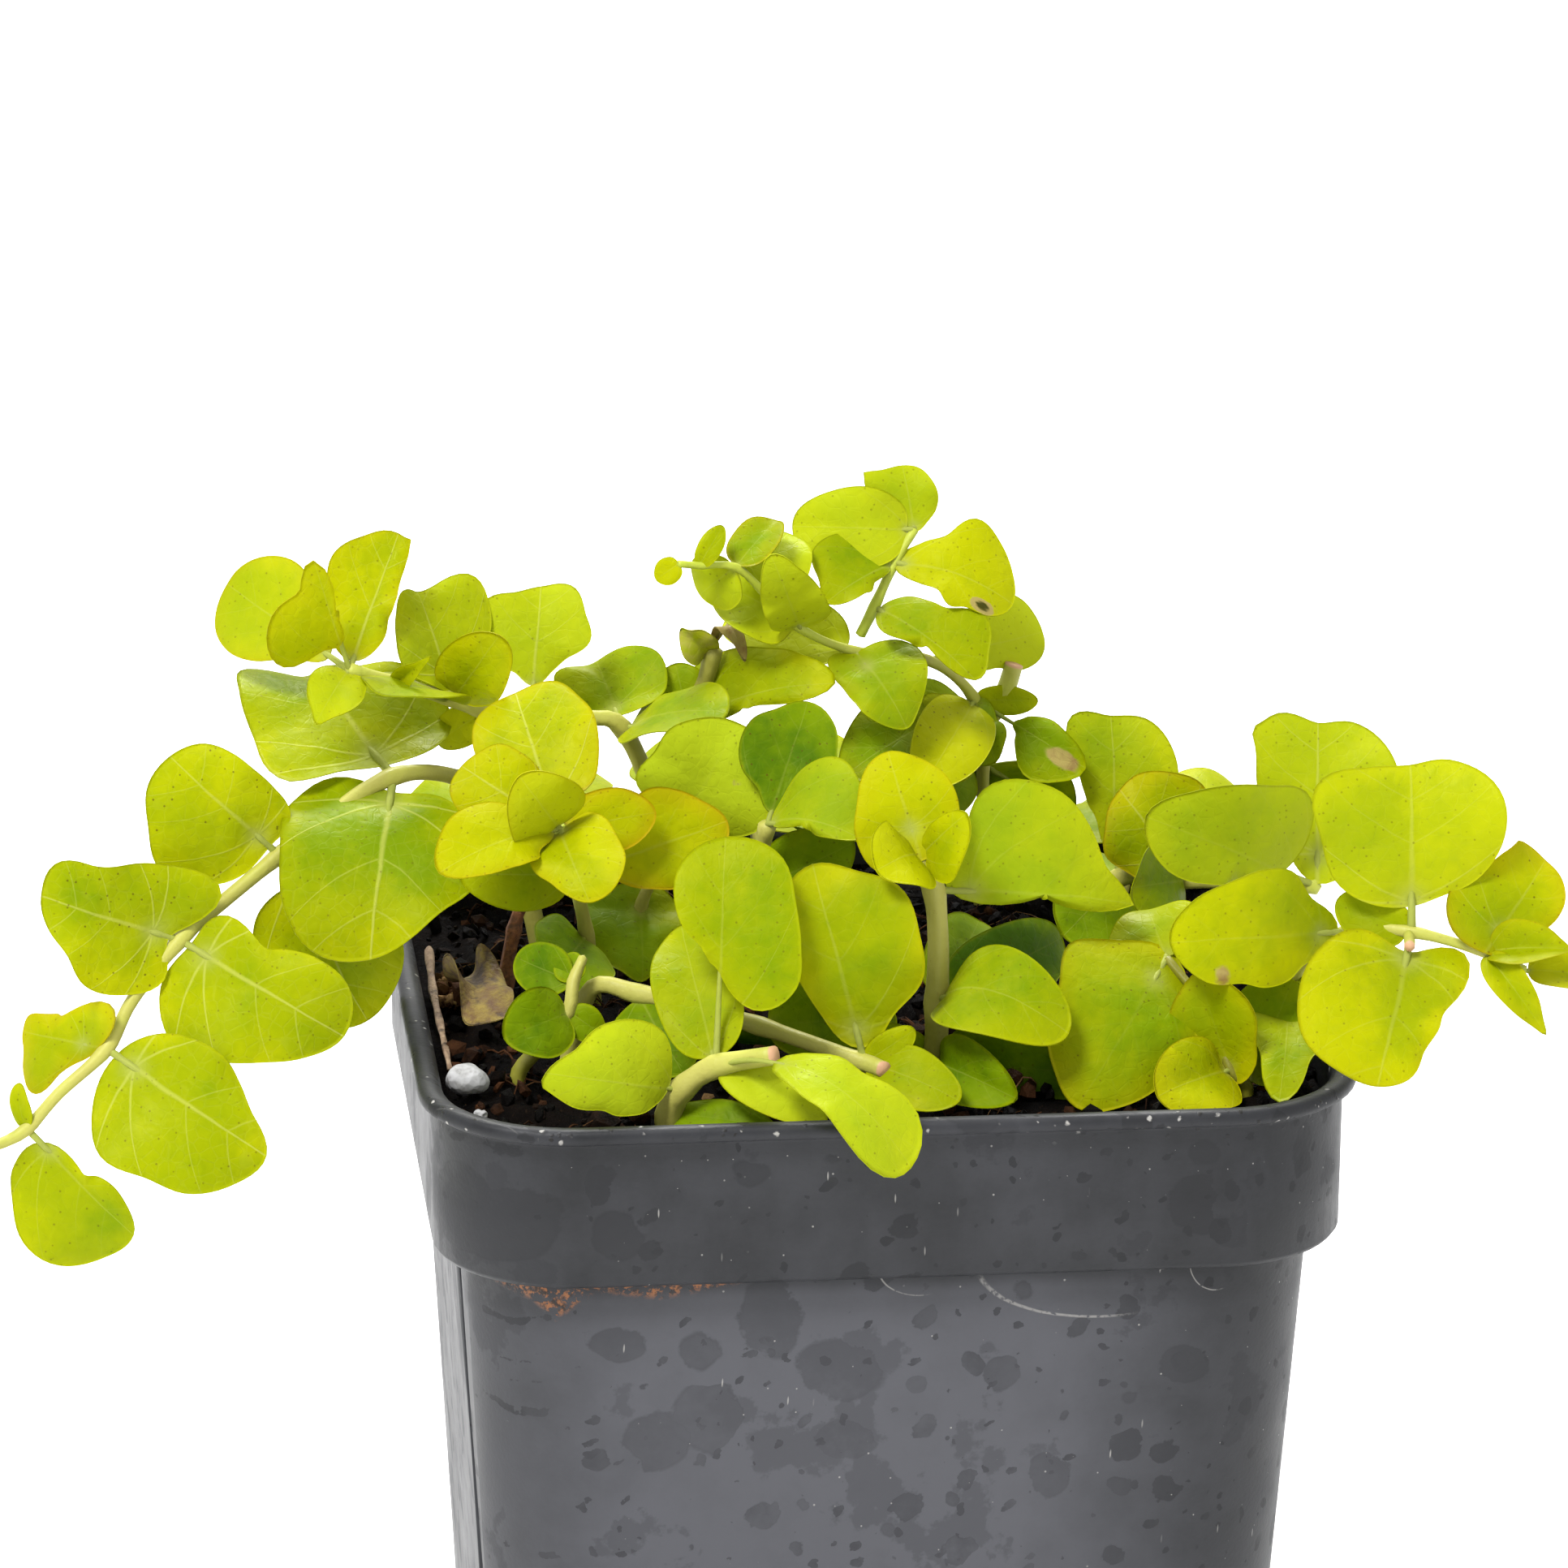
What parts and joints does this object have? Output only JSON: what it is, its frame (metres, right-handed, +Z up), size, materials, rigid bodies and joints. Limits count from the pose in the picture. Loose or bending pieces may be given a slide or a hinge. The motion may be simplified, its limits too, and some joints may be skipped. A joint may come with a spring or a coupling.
{
  "type": "creeping jenny in a square nursery pot",
  "caption": "Golden creeping jenny with round leaves in pairs on trailing stems, rooted in dark soil in a square tapering plastic nursery pot with a deep collar.",
  "frame": {"origin": "centre of the pot's underside", "axes": "+Z up out of the pot, -Y towards the side seen in the picture, +X to the right in the picture"},
  "size_m": [0.152, 0.113, 0.1307],
  "materials": {
    "pot": "dark grey moulded plastic, satin, with dried water marks",
    "soil": "moist near-black potting compost",
    "leaf": "thin golden-green leaf, slightly glossy",
    "stem": "pale green-yellow fleshy stem",
    "perlite": "rough white expanded mineral",
    "dry_litter": "dry brown plant matter"
  },
  "bodies": {
    "root": {"back_leaf_1": "leaf", "back_runner": "stem", "centre_leaf_1": "leaf", "centre_stem": "stem", "dead_twig": "dry_litter", "dry_stem": "stem", "east_leaf_1": "leaf", "east_leaf_2": "leaf", "east_leaf_3": "leaf", "east_leaf_4": "leaf", "east_runner": "stem", "front_leaf_1": "leaf", "front_leaf_2": "leaf", "front_shoot": "stem", "inner_stem": "stem", "middle_runner": "stem", "north_runner": "stem", "northeast_leaf_1": "leaf", "northeast_leaf_2": "leaf", "northeast_leaf_3": "leaf", "northeast_leaf_4": "leaf", "northeast_runner": "stem", "northeast_trailer": "stem", "northwest_leaf_1": "leaf", "northwest_leaf_2": "leaf", "northwest_leaf_3": "leaf", "northwest_leaf_4": "leaf", "northwest_runner": "stem", "northwest_trailer": "stem", "olive_stem": "stem", "perlite_1": "perlite", "perlite_2": "perlite", "pot": "pot", "rosette_leaf_1": "leaf", "rosette_leaf_2": "leaf", "rosette_leaf_3": "leaf", "rosette_stem": "stem", "soil": "soil", "southeast_leaf_1": "leaf", "southeast_stem": "stem", "straw": "dry_litter", "tall_shoot": "stem", "upright_leaf_1": "leaf", "upright_leaf_2": "leaf", "upright_shoot": "stem", "west_leaf_1": "leaf", "west_leaf_2": "leaf", "west_leaf_3": "leaf", "west_leaf_4": "leaf", "west_leaf_5": "leaf", "west_leaf_6": "leaf", "west_leaf_7": "leaf", "west_leaf_8": "leaf", "west_leaf_9": "leaf", "west_runner": "stem", "withered_leaf": "dry_litter"}
  },
  "joints": []
}
